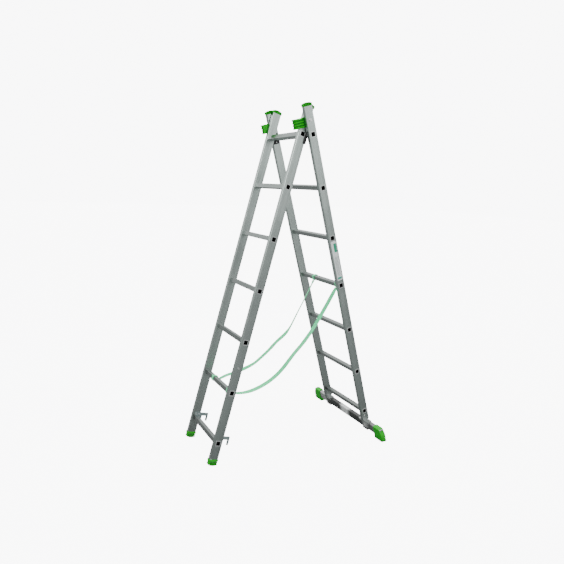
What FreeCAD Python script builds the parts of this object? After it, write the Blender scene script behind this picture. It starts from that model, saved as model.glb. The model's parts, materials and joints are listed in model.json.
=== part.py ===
"""Two-section combination ladder: a wide base section on a stabiliser bar and a narrower fly section.

Both sections are drawn upright and nested, as when the ladder is folded, about the hinge line:
X runs from the fly (-) to the base (+), Y across the ladder and Z up the rails, in millimetres.
Each section is then leaned about the hinge line so that both stand on the floor at Z = 0.
"""
import FreeCAD, Part
import math
import os
import re
from FreeCAD import Placement, Rotation, Vector

SIZES = [
    ("rung_pitch", 280, "distance from rung to rung"),
    ("base_width", 420, "base section over its rails"),
    ("fly_width", 364, "fly section over its rails"),
    ("rail_depth", 50, "rail section, front to back"),
    ("rail_thick", 21, "rail section, side to side"),
    ("rail_wall", 1.6, "rail wall"),
    ("rail_round", 3, "outer corner radius of a rail"),
    ("rung_size", 25, "square rung, outside"),
    ("rung_wall", 1.4, "rung wall"),
    ("rung_round", 2.5, "outer corner radius of a rung"),
    ("flare_size", 30, "flared rung end, outside"),
    ("flare_proud", 0.8, "how far a flared end stands off the rail"),
    ("head_length", 140, "rail above the top rung"),
    ("base_tail", 66, "base rail below the bottom rung"),
    ("fly_tail", 106, "fly rail below the bottom rung"),
    ("nest_offset", 47, "fly behind base, centre to centre, when folded"),
    ("hinge_rise", 2, "hinge line above the top rungs"),
    ("base_lean", 16.6, "lean of the base section, degrees"),
    ("cap_height", 20, "rail cap above the rail end"),
    ("cap_lip", 1, "rail cap outside the rail's sides"),
    ("cap_reach", 4, "rail cap in front of and behind the rail"),
    ("crown_radius", 60, "crown of the caps and fly feet"),
    ("plug_depth", 20, "cap plug inside the rail"),
    ("plug_gap", 0.15, "clearance of a plug in a rail"),
    ("foot_height", 28, "fly foot below the rail end"),
    ("foot_skirt", 8, "fly foot above the rail end"),
    ("foot_wall", 3, "fly foot outside the rail"),
    ("block_low", 39, "guide block, lowest edge above the hinge line"),
    ("block_height", 50, "guide block height"),
    ("block_plate", 6, "guide block plate between the rails"),
    ("block_wall", 10, "guide block wall in front of the fly rail"),
    ("block_gap", 1, "guide block clearance in front of the fly rail"),
    ("block_rear", 18, "guide block behind the base rail's centre"),
    ("block_rib", 1.5, "ribs on the guide block"),
    ("bolt_radius", 4, "M8 bolt shank radius"),
    ("bolt_gap", 0.2, "radial clearance of a bolt hole"),
    ("bolt_head", 6.5, "round bolt head radius"),
    ("washer_radius", 9, "washer radius"),
    ("washer_thick", 1.2, "washer thickness"),
    ("nut_radius", 7, "nut, centre to corner"),
    ("nut_thick", 5, "nut thickness"),
    ("plate_thick", 3, "hinge plate thickness"),
    ("plate_reach", 20, "hinge plate behind the base rail's centre"),
    ("plate_half", 30, "hinge plate, half height about the top rung"),
    ("boss_radius", 9, "hinge boss radius"),
    ("pin_radius", 4, "hinge pin radius"),
    ("pin_gap", 0.05, "radial running clearance of the hinge pin"),
    ("shoe_gap", 1, "hinge shoe to fly rail"),
    ("shoe_side_gap", 0.2, "hinge shoe to hinge plate"),
    ("shoe_lip", 4.5, "hinge shoe lip behind the fly rail"),
    ("shoe_lip_width", 20, "hinge shoe lip, side to side"),
    ("shoe_drop", 46, "hinge shoe below the hinge line"),
    ("rivet_radius", 2.4, "rivet shank radius"),
    ("rivet_head", 4.5, "rivet head radius"),
    ("rivet_thick", 1.6, "rivet head thickness"),
    ("hook_thick", 4, "hook plate thickness"),
    ("hook_arm", 19, "hook arm height over the throat"),
    ("hook_prong", 12, "hook prong behind the throat"),
    ("hook_drop", 17, "hook prong below the rung's centre"),
    ("hook_gap", 0.6, "throat clearance each side of a rung"),
    ("seat_gap", 0.3, "throat clearance over a rung"),
    ("stud_radius", 5, "stop stud radius"),
    ("stud_proud", 3, "stop stud off the fly rail"),
    ("stud_above", 418, "stop stud above the bottom rung"),
    ("bar_length", 710, "stabiliser bar"),
    ("bar_depth", 25, "stabiliser bar, front to back"),
    ("bar_height", 50, "stabiliser bar height"),
    ("bar_wall", 2, "stabiliser bar wall"),
    ("saddle_length", 85, "saddle along the bar"),
    ("saddle_wall", 3, "saddle thickness"),
    ("saddle_skirt", 10, "saddle down the bar's sides"),
    ("pad_length", 48, "clamp pad along the bar"),
    ("pad_height", 12, "clamp pad height"),
    ("shoe_wall", 4, "bar foot outside the bar"),
    ("shoe_length", 72, "bar foot along the bar"),
    ("shoe_end", 10, "bar foot past the end of the bar"),
    ("shoe_drop_below", 33, "bar foot below the bar"),
    ("shoe_round", 5, "bar foot corner radius"),
    ("plug_height", 30, "rail plug at the foot of the base rail"),
    ("label_margin", 18, "label below the rung above it"),
    ("label_short", 50, "label shorter than the rung pitch"),
    ("label_width", 34, "label across the rail"),
    ("label_thick", 0.3, "label thickness"),
    ("strap_width", 22, "webbing width"),
    ("strap_thick", 2.5, "webbing thickness"),
    ("loop_gap", 0.4, "webbing loop to rung"),
    ("strap_inset", 2, "webbing loop to rail"),
    ("strap_slide", 116, "the far strap's loop has slid this far in along its base rung"),
    ("fly_slide", 90, "and this far in along its fly rung"),
    ("stitch_length", 34, "stitched joint in a strap, along it"),
    ("stitch_thick", 4.5, "stitched joint thickness"),
]
RUNGS = 7  # rungs in each section
LAST = RUNGS - 1
LABEL_RUNG = 2  # the label is below this rung, counted down from the top rung as 0
STRAP_RUNG_BASE = 3  # rungs that carry the straps, counted the same way
STRAP_RUNG_FLY = 5
SIDES = {"left": -1, "right": 1}

# How each strap hangs: points from the fly's loop to the base's, as fractions of the straight line between
# the loops, (along it, off it), where off is negative below the line.
STRAP_HANG = {
    "left": [(0.027, -0.0401), (0.0888, -0.0925), (0.1686, -0.1298), (0.2567, -0.1519), (0.3512, -0.1539),
             (0.4647, -0.1339), (0.5781, -0.1251), (0.6906, -0.1027), (0.8055, -0.0663), (0.9086, -0.0326)],
    "right": [(0.0647, -0.0229), (0.1206, -0.0619), (0.1881, -0.096), (0.2637, -0.1273), (0.3176, -0.1328),
              (0.4016, -0.1391), (0.4927, -0.1365), (0.6055, -0.1484), (0.7358, -0.0989), (0.8352, -0.0632),
              (0.933, -0.0285)],
}
# Where a strap leaves the rear of the fly's loop: (out from it, below the rung's centre).
STRAP_START = {"left": (0, 8), "right": (0.55, 12)}
STRAP_SPARE = 0.7  # share of a slanted end's swing by which the strap starts and stops short of its loops
STRAP_MIDDLE = 6  # a strap's two halves are sewn together half way along the run from this route point

doc = FreeCAD.newDocument("combination_ladder")
sheet = doc.addObject("Spreadsheet::Sheet", "dims")
for row, (alias, value, note) in enumerate(SIZES, 1):
    sheet.set(f"A{row}", note)
    sheet.set(f"B{row}", str(value))
    sheet.setAlias(f"B{row}", alias)
doc.recompute()
WORDS = re.compile(r"\b(" + "|".join(alias for alias, _, _ in SIZES) + r")\b")


def size(alias):
    """A value of the sheet, as a number."""
    return float(sheet.get(alias))


# ---------------------------------------------------------------- drawing helpers
def bind(obj, prop, text):
    obj.setExpression(prop, WORDS.sub(r"dims.\1", str(text)))


def box(x, y, z):
    """A box between pairs of (low, high) expressions."""
    obj = doc.addObject("Part::Box", "block")
    for axis, length, (low, high) in zip("xyz", ("Length", "Width", "Height"), (x, y, z)):
        bind(obj, length, f"({high}) - ({low})")
        bind(obj, f"Placement.Base.{axis}", low)
    return obj


def about(centre, half):
    """A (low, high) pair of expressions about a centre."""
    return f"({centre}) - ({half})", f"({centre}) + ({half})"


def span(side, inner, outer):
    """A (low, high) pair across the ladder, on its left (-1) or right (+1) side."""
    return (inner, outer) if side > 0 else (f"-({outer})", f"-({inner})")


def rod(x, y, z, radius, sides=0):
    """A cylinder, or a prism of so many sides, along Y between the pair y."""
    obj = doc.addObject("Part::Prism" if sides else "Part::Cylinder", "rod")
    bind(obj, "Circumradius" if sides else "Radius", radius)
    if sides:
        obj.Polygon = sides
    bind(obj, "Height", f"({y[1]}) - ({y[0]})")
    obj.Placement.Rotation = Rotation(Vector(1, 0, 0), -90)
    for axis, at in zip("xyz", (x, y[0], z)):
        bind(obj, f"Placement.Base.{axis}", at)
    return obj


def post(x, y, z, radius, sides=0):
    """A cylinder or prism along Z between the pair z."""
    obj = doc.addObject("Part::Prism" if sides else "Part::Cylinder", "post")
    bind(obj, "Circumradius" if sides else "Radius", radius)
    if sides:
        obj.Polygon = sides
    bind(obj, "Height", f"({z[1]}) - ({z[0]})")
    for axis, at in zip("xyz", (x, y, z[0])):
        bind(obj, f"Placement.Base.{axis}", at)
    return obj


def group(items):
    obj = doc.addObject("Part::Compound", "group")
    obj.Links = items
    return obj


def fuse(*items):
    obj = doc.addObject("Part::MultiFuse", "joined")
    obj.Shapes = list(items)
    return obj


def cut(base, *tools):
    obj = doc.addObject("Part::Cut", "cut")
    obj.Base = base
    obj.Tool = tools[0] if len(tools) == 1 else group(list(tools))
    return obj


def common(a, b):
    obj = doc.addObject("Part::Common", "shared")
    obj.Base, obj.Tool = a, b
    return obj


def rounded(base, direction, radius):
    """The four edges of a box that run along one axis, rounded."""
    doc.recompute()
    along = {"x": Vector(1, 0, 0), "y": Vector(0, 1, 0), "z": Vector(0, 0, 1)}[direction]
    obj = doc.addObject("Part::Fillet", "rounded")
    obj.Base = base
    obj.Edges = [
        (number, radius, radius)
        for number, edge in enumerate(base.Shape.Edges, 1)
        if edge.tangentAt(edge.FirstParameter).cross(along).Length < 1e-6
    ]
    return obj


nodes = []  # (Label, object, section)


def node(label, obj, section):
    """Names a finished sub-part. A lone primitive is wrapped, so that its own place stays as drawn."""
    if obj.TypeId in ("Part::Box", "Part::Cylinder", "Part::Prism", "Part::Fillet"):
        obj = group([obj])
    obj.Label = label
    nodes.append((label, obj, section))
    return obj


# ---------------------------------------------------------------- the two sections
SECTIONS = {
    "base": {"x": "nest_offset/2", "out": "base_width/2", "tail": "base_tail"},
    "fly": {"x": "-nest_offset/2", "out": "fly_width/2", "tail": "fly_tail"},
}
for part in SECTIONS.values():
    part["inn"] = f"{part['out']} - rail_thick"
    part["mid"] = f"{part['out']} - rail_thick/2"
    part["end"] = f"(-hinge_rise - {LAST}*rung_pitch - {part['tail']})"
RAIL_TOP = "(head_length - hinge_rise)"
BOLT_Z = "(block_low + block_height*0.6)"
BASE, FLY = SECTIONS["base"], SECTIONS["fly"]


def rung_z(number):
    return f"(-hinge_rise - {number}*rung_pitch)"


def rung_bar(part, number, grow="0", half_length=None):
    """A solid bar of the rung's outside section."""
    half = f"rung_size/2 + {grow}"
    ends = half_length or f"({part['out']} + flare_proud)"
    bar = box(about(part["x"], half), (f"-{ends}", ends), about(rung_z(number), half))
    return rounded(bar, "y", size("rung_round"))


def rail(part, side, *holes):
    x = about(part["x"], "rail_depth/2")
    y = span(side, part["inn"], part["out"])
    z = (part["end"], RAIL_TOP)
    outer = rounded(box(x, y, z), "z", size("rail_round"))
    bars = [rung_bar(part, number) for number in range(RUNGS)]
    return cut(outer, rail_hollow(part, side, z), *bars, *holes)


def rail_hollow(part, side, z, gap="0"):
    """The space inside a rail, less a gap all round."""
    inset = f"rail_wall + {gap}"
    x = about(part["x"], f"rail_depth/2 - ({inset})")
    y = span(side, f"{part['inn']} + {inset}", f"{part['out']} - ({inset})")
    return rounded(box(x, y, z), "z", size("rail_round") - size("rail_wall"))


def rung(part, number):
    """A square tube through both rails, its ends flared over the rails' outer faces."""
    x, z = part["x"], rung_z(number)
    full = (f"-({part['out']} + flare_proud)", f"{part['out']} + flare_proud")
    collars = []
    for side in SIDES.values():
        y = span(side, part["out"], f"{part['out']} + flare_proud")
        collar = box(about(x, "flare_size/2"), y, about(z, "flare_size/2"))
        collars.append(rounded(collar, "y", size("rung_round") * 1.5))
    inside = "rung_size/2 - rung_wall"
    bore = rounded(box(about(x, inside), full, about(z, inside)), "y", size("rung_round") - size("rung_wall"))
    return cut(fuse(rung_bar(part, number), *collars), bore)


def crowned(x, half_depth, y, z, radius, up):
    """A box from z[0] to z[1] whose top (up = 1) or bottom (up = -1) is crowned front to back."""
    centre = f"{z[1]} - {radius}" if up > 0 else f"{z[0]} + {radius}"
    return common(box(about(x, half_depth), y, z), rod(x, y, centre, radius))


def rail_cap(part, side):
    z = (RAIL_TOP, f"{RAIL_TOP} + cap_height")
    y = span(side, f"{part['inn']} - cap_lip", f"{part['out']} + cap_lip")
    crown = crowned(part["x"], "rail_depth/2 + cap_reach", y, z, "crown_radius", 1)
    plug = rail_hollow(part, side, (f"{RAIL_TOP} - plug_depth", RAIL_TOP), "plug_gap")
    return fuse(crown, plug)


for name, part in SECTIONS.items():
    for number in range(RUNGS):
        node(f"{name}_rung_{RUNGS - number}", rung(part, number), name)
    for side_name, side in SIDES.items():
        node(f"{name}_cap_{side_name}", rail_cap(part, side), name)

# ---------------------------------------------------------------- hinge at the top of the ladder
GAP_OUT = BASE["inn"]  # the base rail's inner face, one side of the gap between the rails
PLATE_IN = f"({GAP_OUT} - plate_thick)"
SHOE_OUT = f"({PLATE_IN} - shoe_side_gap)"
SHOE_IN = f"({FLY['out']} + shoe_gap)"
FLY_REAR = "(-nest_offset/2 + rail_depth/2)"
PLATE_RIVETS = ["(-hinge_rise + rung_size/2 + 8)", "(-hinge_rise - rung_size/2 - 8)"]


def hinge_plate(side):
    """Hangs on the top rung inside the base rail and carries the hinge pin ahead of the rung."""
    y = span(side, PLATE_IN, GAP_OUT)
    body = box(("0", f"{BASE['x']} + plate_reach"), y, about("-hinge_rise", "plate_half"))
    bore = rod("0", y, "0", "pin_radius + pin_gap")
    holes = [rod(BASE["x"], y, z, "rivet_radius") for z in PLATE_RIVETS]
    return cut(fuse(body, rod("0", y, "0", "boss_radius")), bore, rung_bar(BASE, 0, "0.2"), *holes)


def hinge_shoe(side):
    """Turns on the hinge pin and guides the fly rail along its outer and rear faces."""
    y = span(side, SHOE_IN, SHOE_OUT)
    lip_start = f"{FLY_REAR} + 0.4"
    lip_end = f"{FLY_REAR} + 0.4 + shoe_lip"
    arm = box(("-boss_radius", lip_end), y, ("-shoe_drop", "0"))
    lip = box((lip_start, lip_end), span(side, f"{SHOE_OUT} - shoe_lip_width", SHOE_OUT), ("-shoe_drop", "-boss_radius"))
    return cut(fuse(rod("0", y, "0", "boss_radius"), arm, lip), rod("0", y, "0", "pin_radius"))


def guide_block(side):
    """A channel fixed inside the base rail, closed in front of the folded fly rail."""
    z = ("block_low", "block_low + block_height")
    plate = span(side, f"{GAP_OUT} - block_plate", GAP_OUT)
    front = "(-nest_offset/2 - rail_depth/2 - block_gap)"
    body = box((f"{front} - block_wall", f"{BASE['x']} + block_rear"), plate, z)
    wall = box((f"{front} - block_wall", front), span(side, FLY["inn"], GAP_OUT), z)
    ribs = [
        box((f"{front} - block_wall + 3", "(nest_offset/2 - rail_depth/2) - 3"),
            span(side, GAP_OUT, f"{GAP_OUT} + block_rib"),
            about(f"block_low + block_height*{share}", "2"))
        for share in (0.3, 0.7)
    ]
    hole = rod(BASE["x"], plate, BOLT_Z, "bolt_radius + bolt_gap")
    pocket = rod(BASE["x"], span(side, f"{GAP_OUT} - block_plate", f"{GAP_OUT} - block_plate + nut_thick"),
                 BOLT_Z, "nut_radius + bolt_gap", 6)
    return cut(fuse(rounded(body, "y", 2), wall, *ribs), hole, pocket)


def guide_bolt(side):
    shank = span(side, f"{GAP_OUT} - block_plate", f"{BASE['out']} + washer_thick")
    head = span(side, f"{BASE['out']} + washer_thick", f"{BASE['out']} + washer_thick + bolt_radius")
    return fuse(rod(BASE["x"], shank, BOLT_Z, "bolt_radius"), rod(BASE["x"], head, BOLT_Z, "bolt_head"))


def guide_washer(side):
    y = span(side, BASE["out"], f"{BASE['out']} + washer_thick")
    return cut(rod(BASE["x"], y, BOLT_Z, "washer_radius"), rod(BASE["x"], y, BOLT_Z, "bolt_radius"))


def guide_nut(side):
    y = span(side, f"{GAP_OUT} - block_plate", f"{GAP_OUT} - block_plate + nut_thick")
    return cut(rod(BASE["x"], y, BOLT_Z, "nut_radius", 6), rod(BASE["x"], y, BOLT_Z, "bolt_radius"))


def plate_rivet(side, z):
    """Flush with the hinge plate, and closed inside the rail."""
    wall = f"{GAP_OUT} + rail_wall"
    shank = rod(BASE["x"], span(side, PLATE_IN, wall), z, "rivet_radius")
    return fuse(shank, rod(BASE["x"], span(side, wall, f"{wall} + rivet_thick"), z, "rivet_head"))


def hinge_pin(side):
    return rod("0", span(side, SHOE_IN, GAP_OUT), "0", "pin_radius")


for side_name, side in SIDES.items():
    node(f"guide_block_{side_name}", guide_block(side), "base")
    node(f"hinge_plate_{side_name}", hinge_plate(side), "base")
    node(f"hinge_shoe_{side_name}", hinge_shoe(side), "fly")
node("guide_bolts", group([guide_bolt(side) for side in SIDES.values()]), "base")
node("guide_washers", group([guide_washer(side) for side in SIDES.values()]), "base")
node("guide_nuts", group([guide_nut(side) for side in SIDES.values()]), "base")
node("hinge_rivets", group([plate_rivet(side, z) for side in SIDES.values() for z in PLATE_RIVETS]), "base")
node("hinge_pins", group([hinge_pin(side) for side in SIDES.values()]), "fly")

# ---------------------------------------------------------------- foot of the base section
SADDLE_TOP = BASE["end"]
BAR_TOP = f"({SADDLE_TOP} - saddle_wall)"
BAR_LOW = f"({BAR_TOP} - bar_height)"
PAD_LOW = f"({BAR_LOW} - pad_height)"
PLUG_TOP = f"({SADDLE_TOP} + plug_height)"
BAR_X = about(BASE["x"], "bar_depth/2")


def clamp_hole(side, z):
    return post(BASE["x"], f"{side}*({BASE['mid']})", z, "bolt_radius + bolt_gap")


def saddle(side):
    """A bright channel on the bar, on which a base rail stands."""
    y = about(f"{side}*({BASE['mid']})", "saddle_length/2")
    outer = box(about(BASE["x"], "bar_depth/2 + saddle_wall"), y, (f"{BAR_TOP} - saddle_skirt", SADDLE_TOP))
    inner = box(BAR_X, y, (f"{BAR_TOP} - saddle_skirt", BAR_TOP))
    return cut(outer, inner, clamp_hole(side, (BAR_TOP, SADDLE_TOP)))


def stabiliser_bar():
    y = ("-bar_length/2", "bar_length/2")
    outer = rounded(box(BAR_X, y, (BAR_LOW, BAR_TOP)), "y", size("rung_round"))
    inner = box(about(BASE["x"], "bar_depth/2 - bar_wall"), y, (f"{BAR_LOW} + bar_wall", f"{BAR_TOP} - bar_wall"))
    holes = [clamp_hole(side, (BAR_LOW, BAR_TOP)) for side in SIDES.values()]
    return cut(outer, inner, *holes)


def floor_cut(side):
    """Everything below the floor line under a bar foot, once the base section leans."""
    obj = doc.addObject("Part::Box", "floor")
    for prop in ("Length", "Width", "Height"):
        bind(obj, prop, "4*shoe_length")
    reach, low = "2*shoe_length", f"({BAR_LOW} - shoe_drop_below)"
    bind(obj, "Placement.Base.x", f"{BASE['x']} - {reach}*cos(base_lean*1deg) - 2*{reach}*sin(base_lean*1deg)")
    bind(obj, "Placement.Base.y", f"{side}*bar_length/2 - {reach}")
    bind(obj, "Placement.Base.z", f"{low} + {reach}*sin(base_lean*1deg) - 2*{reach}*cos(base_lean*1deg)")
    obj.Placement.Rotation = Rotation(Vector(0, 1, 0), size("base_lean"))
    return obj


def bar_foot(side):
    """Sleeved over the end of the bar, its sole level with the floor."""
    y = span(side, "bar_length/2 + shoe_end - shoe_length", "bar_length/2 + shoe_end")
    z = (f"{BAR_LOW} - shoe_drop_below - bar_depth", f"{BAR_TOP} + shoe_wall")
    body = rounded(box(about(BASE["x"], "bar_depth/2 + shoe_wall"), y, z), "z", size("shoe_round"))
    socket = rounded(box(BAR_X, span(side, "0", "bar_length/2"), (BAR_LOW, BAR_TOP)), "y", size("rung_round"))
    return cut(body, socket, floor_cut(side))


def rail_plug(side):
    body = rail_hollow(BASE, side, (SADDLE_TOP, PLUG_TOP), "plug_gap")
    return cut(body, clamp_hole(side, (SADDLE_TOP, PLUG_TOP)))


def clamp_pad(side):
    y = about(f"{side}*({BASE['mid']})", "pad_length/2")
    return cut(rounded(box(BAR_X, y, (PAD_LOW, BAR_LOW)), "z", 4), clamp_hole(side, (PAD_LOW, BAR_LOW)))


def clamp_bolt(side):
    y = f"{side}*({BASE['mid']})"
    shank = post(BASE["x"], y, (PAD_LOW, f"{PLUG_TOP} + nut_thick + 2"), "bolt_radius")
    return fuse(shank, post(BASE["x"], y, (f"{PAD_LOW} - nut_thick", PAD_LOW), "nut_radius", 6))


def clamp_nut(side):
    y, z = f"{side}*({BASE['mid']})", (PLUG_TOP, f"{PLUG_TOP} + nut_thick")
    return cut(post(BASE["x"], y, z, "nut_radius", 6), post(BASE["x"], y, z, "bolt_radius"))


node("stabiliser_bar", stabiliser_bar(), "base")
for side_name, side in SIDES.items():
    holes = [rod(BASE["x"], span(side, BASE["inn"], BASE["out"]), BOLT_Z, "bolt_radius + bolt_gap")]
    inner_wall = span(side, GAP_OUT, f"{GAP_OUT} + rail_wall")
    holes += [rod(BASE["x"], inner_wall, z, "rivet_radius") for z in PLATE_RIVETS]
    node(f"base_rail_{side_name}", rail(BASE, side, *holes), "base")
    node(f"saddle_{side_name}", saddle(side), "base")
    node(f"rail_plug_{side_name}", rail_plug(side), "base")
    node(f"clamp_pad_{side_name}", clamp_pad(side), "base")
    node(f"bar_foot_{side_name}", bar_foot(side), "base")
node("clamp_bolts", group([clamp_bolt(side) for side in SIDES.values()]), "base")
node("clamp_nuts", group([clamp_nut(side) for side in SIDES.values()]), "base")
LABEL_TOP = f"({rung_z(LABEL_RUNG)} - label_margin)"
node("label", box(about(BASE["x"], "label_width/2"), span(-1, BASE["out"], f"{BASE['out']} + label_thick"),
                  (f"{LABEL_TOP} - rung_pitch + label_short", LABEL_TOP)), "base")

# ---------------------------------------------------------------- foot of the fly section
FLY_END = FLY["end"]
FOOT_SCREW = ("(-nest_offset/2 - rail_depth/2 + 9)", f"{FLY_END} + foot_skirt + 6")
HOOK_Z = rung_z(LAST)
HOOK_RIVETS = [("(-nest_offset/2 - 6)", f"{HOOK_Z} + rung_size/2 + 10"),
               ("(-nest_offset/2 + 14)", f"{HOOK_Z} + rung_size/2 + 10")]
STUD = (FLY["x"], f"{HOOK_Z} + stud_above")


def fly_foot(side):
    """A crowned foot, sleeved over the end of a fly rail and plugged into it."""
    z = (f"{FLY_END} - foot_height", f"{FLY_END} + foot_skirt")
    y = span(side, f"{FLY['inn']} - foot_wall", f"{FLY['out']} + foot_wall")
    body = crowned(FLY["x"], "rail_depth/2 + foot_wall", y, z, "crown_radius", -1)
    socket = rounded(box(about(FLY["x"], "rail_depth/2"), span(side, FLY["inn"], FLY["out"]),
                         (FLY_END, f"{FLY_END} + foot_skirt")), "z", size("rail_round"))
    plug = rail_hollow(FLY, side, (FLY_END, f"{FLY_END} + plug_depth"), "plug_gap")
    x, z = FOOT_SCREW
    return cut(fuse(cut(body, socket), plug), rod(x, span(side, FLY["inn"], FLY["out"]), z, "rivet_radius"))


def foot_screw(side):
    x, z = FOOT_SCREW
    shank = rod(x, span(side, FLY["mid"], FLY["out"]), z, "rivet_radius")
    return fuse(shank, rod(x, span(side, FLY["out"], f"{FLY['out']} + rivet_thick"), z, "rivet_head"))


def stop_stud(side):
    x, z = STUD
    wall = f"{FLY['out']} - rail_wall"
    shank = rod(x, span(side, f"{wall} - 1", FLY["out"]), z, "rivet_radius")
    return fuse(shank, rod(x, span(side, FLY["out"], f"{FLY['out']} + stud_proud"), z, "stud_radius"))


def hook_rivet(side, x, z):
    inner = f"{FLY['inn']} - hook_thick"
    wall = f"{FLY['inn']} + rail_wall"
    shank = rod(x, span(side, inner, wall), z, "rivet_radius")
    head = rod(x, span(side, f"{inner} - rivet_thick", inner), z, "rivet_head")
    return fuse(shank, head, rod(x, span(side, wall, f"{wall} + rivet_thick"), z, "rivet_head"))


def hook(side):
    """A plate on the fly rail's inner face that hangs over a rung of the base when folded."""
    y = span(side, f"{FLY['inn']} - hook_thick", FLY["inn"])
    roof = f"({HOOK_Z} + rung_size/2 + seat_gap)"
    near = "(nest_offset/2 - rung_size/2 - hook_gap)"
    far = "(nest_offset/2 + rung_size/2 + hook_gap)"
    own = "(-nest_offset/2 - rung_size/2)"
    heel = "(-nest_offset/2 + rung_size/2 + seat_gap)"
    arm = rounded(box((own, f"{far} + hook_prong"), y, (roof, f"{roof} + hook_arm")), "y", 5)
    prong = rounded(box((far, f"{far} + hook_prong"), y, (f"{HOOK_Z} - hook_drop", f"{roof} + hook_arm/2")), "y", 3)
    web = box((heel, near), y, (f"{HOOK_Z} - rung_size/4", f"{roof} + hook_arm/2"))
    holes = [rod(x, y, z, "rivet_radius") for x, z in HOOK_RIVETS]
    return cut(fuse(arm, prong, web), *holes)


def feature(shape):
    obj = doc.addObject("Part::Feature", "shape")
    obj.Shape = shape
    return obj


for side_name, side in SIDES.items():
    x, z = FOOT_SCREW
    outer_wall = span(side, FLY["mid"], FLY["out"])
    inner_wall = span(side, FLY["inn"], FLY["mid"])
    holes = [rod(x, outer_wall, z, "rivet_radius"), rod(STUD[0], outer_wall, STUD[1], "rivet_radius")]
    holes += [rod(at, inner_wall, up, "rivet_radius") for at, up in HOOK_RIVETS]
    node(f"fly_rail_{side_name}", rail(FLY, side, *holes), "fly")
    node(f"fly_foot_{side_name}", fly_foot(side), "fly")
    node(f"hook_{side_name}", hook(side), "fly")
node("foot_screws", group([foot_screw(side) for side in SIDES.values()]), "fly")
node("stop_studs", group([stop_stud(side) for side in SIDES.values()]), "fly")
node("hook_rivets", group([hook_rivet(side, x, z) for side in SIDES.values() for x, z in HOOK_RIVETS]), "fly")


# ---------------------------------------------------------------- how the sections stand
lean = math.radians(size("base_lean"))
sole = size("hinge_rise") + LAST * size("rung_pitch") + size("base_tail")
sole += size("saddle_wall") + size("bar_height") + size("shoe_drop_below")
hinge_height = sole * math.cos(lean) - size("nest_offset") / 2 * math.sin(lean)
crown = size("hinge_rise") + LAST * size("rung_pitch") + size("fly_tail") + size("foot_height") - size("crown_radius")
arm = math.hypot(crown, size("nest_offset") / 2)
fly_lean = math.acos((hinge_height - size("crown_radius")) / arm) - math.atan(size("nest_offset") / 2 / crown)
TURN_Y = Vector(0, 1, 0)
TURNS = {
    "base": Rotation(TURN_Y, -size("base_lean")),
    "fly": Rotation(TURN_Y, math.degrees(fly_lean)),
}
turns = {section: Placement(Vector(), turn) for section, turn in TURNS.items()}
print(f"hinge height {hinge_height:.2f}, fly lean {math.degrees(fly_lean):.3f}")


# ---------------------------------------------------------------- straps
def strap_loop(part, side, number, slide="0"):
    """A band of webbing round a rung, next to the rail or slid in from it."""
    outside = f"{part['inn']} - strap_inset - {slide}"
    y = span(side, f"{outside} - strap_width", outside)
    z, gap = rung_z(number), "rung_size/2 + loop_gap"
    outer = box(about(part["x"], f"{gap} + strap_thick"), y, about(z, f"{gap} + strap_thick"))
    return cut(rounded(outer, "y", size("strap_thick") + 1), box(about(part["x"], gap), y, about(z, gap)))


def strap_route(side_name, short=0.0):
    """The route's points from loop to loop, in the plane Y = 0, about the hinge line at rest."""
    outer = size("rung_size") / 2 + size("loop_gap") + size("strap_thick")
    fly_rung = Vector(-size("nest_offset") / 2, 0, -size("hinge_rise") - STRAP_RUNG_FLY * size("rung_pitch"))
    base_rung = Vector(size("nest_offset") / 2, 0, -size("hinge_rise") - STRAP_RUNG_BASE * size("rung_pitch"))
    out, down = STRAP_START[side_name]
    first = TURNS["fly"].multVec(fly_rung + Vector(outer + short + out, 0, -down))
    last = TURNS["base"].multVec(base_rung + Vector(1 - outer - short, 0, 1 - outer))
    line = last - first
    off = Vector(-line.z, 0, line.x)
    return [first] + [first + line * a + off * b for a, b in STRAP_HANG[side_name]] + [last]


def strap_wire(spots):
    """Straight runs joined by tangent arcs, each as large as its two runs allow."""
    edges, last, radii = [], spots[0], []
    for before, here, after in zip(spots, spots[1:], spots[2:]):
        one, two = before - here, after - here
        half = one.getAngle(two) / 2
        back = 0.45 * min(one.Length, two.Length)
        radius = back * math.tan(half)
        one, two = one.normalize(), two.normalize()
        middle = here + (one + two).normalize() * (radius / math.sin(half) - radius)
        edges.append(Part.LineSegment(last, here + one * back).toShape())
        edges.append(Part.Arc(here + one * back, middle, here + two * back).toShape())
        last = here + two * back
        radii.append(round(radius))
    edges.append(Part.LineSegment(last, spots[-1]).toShape())
    print("arc radii", radii)
    return Part.Wire(edges)


def strap_half(points):
    """A ribbon along the route, its width across the ladder."""
    wide, thick = size("strap_width") / 2, size("strap_thick") / 2
    wire = strap_wire(points)
    start = points[0]
    run = (points[1] - start).normalize()
    up = Vector(-run.z, 0, run.x) * thick
    corners = [start + up + Vector(0, wide, 0), start + up - Vector(0, wide, 0),
               start - up - Vector(0, wide, 0), start - up + Vector(0, wide, 0)]
    section = Part.makePolygon(corners + corners[:1])
    ribbon = wire.makePipeShell([section], True, False)
    print(f"strap half {wire.Length:.0f} long, volume share {ribbon.Volume / (wire.Length * 4 * wide * thick):.4f}")
    return ribbon


def stitched_joint(centre, along):
    """The short doubled piece in which the two halves meet."""
    half, thick = along * (size("stitch_length") / 2), size("stitch_thick") / 2
    up = Vector(-along.z, 0, along.x) * thick
    low = centre - Vector(0, size("strap_width") / 2, 0)
    corners = [low - half - up, low + half - up, low + half + up, low - half + up]
    piece = Part.Face(Part.makePolygon(corners + corners[:1])).extrude(Vector(0, size("strap_width"), 0))
    return piece.makeFillet(0.9, [edge for edge in piece.Edges if abs(edge.tangentAt(0).y) > 0.5])


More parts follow.
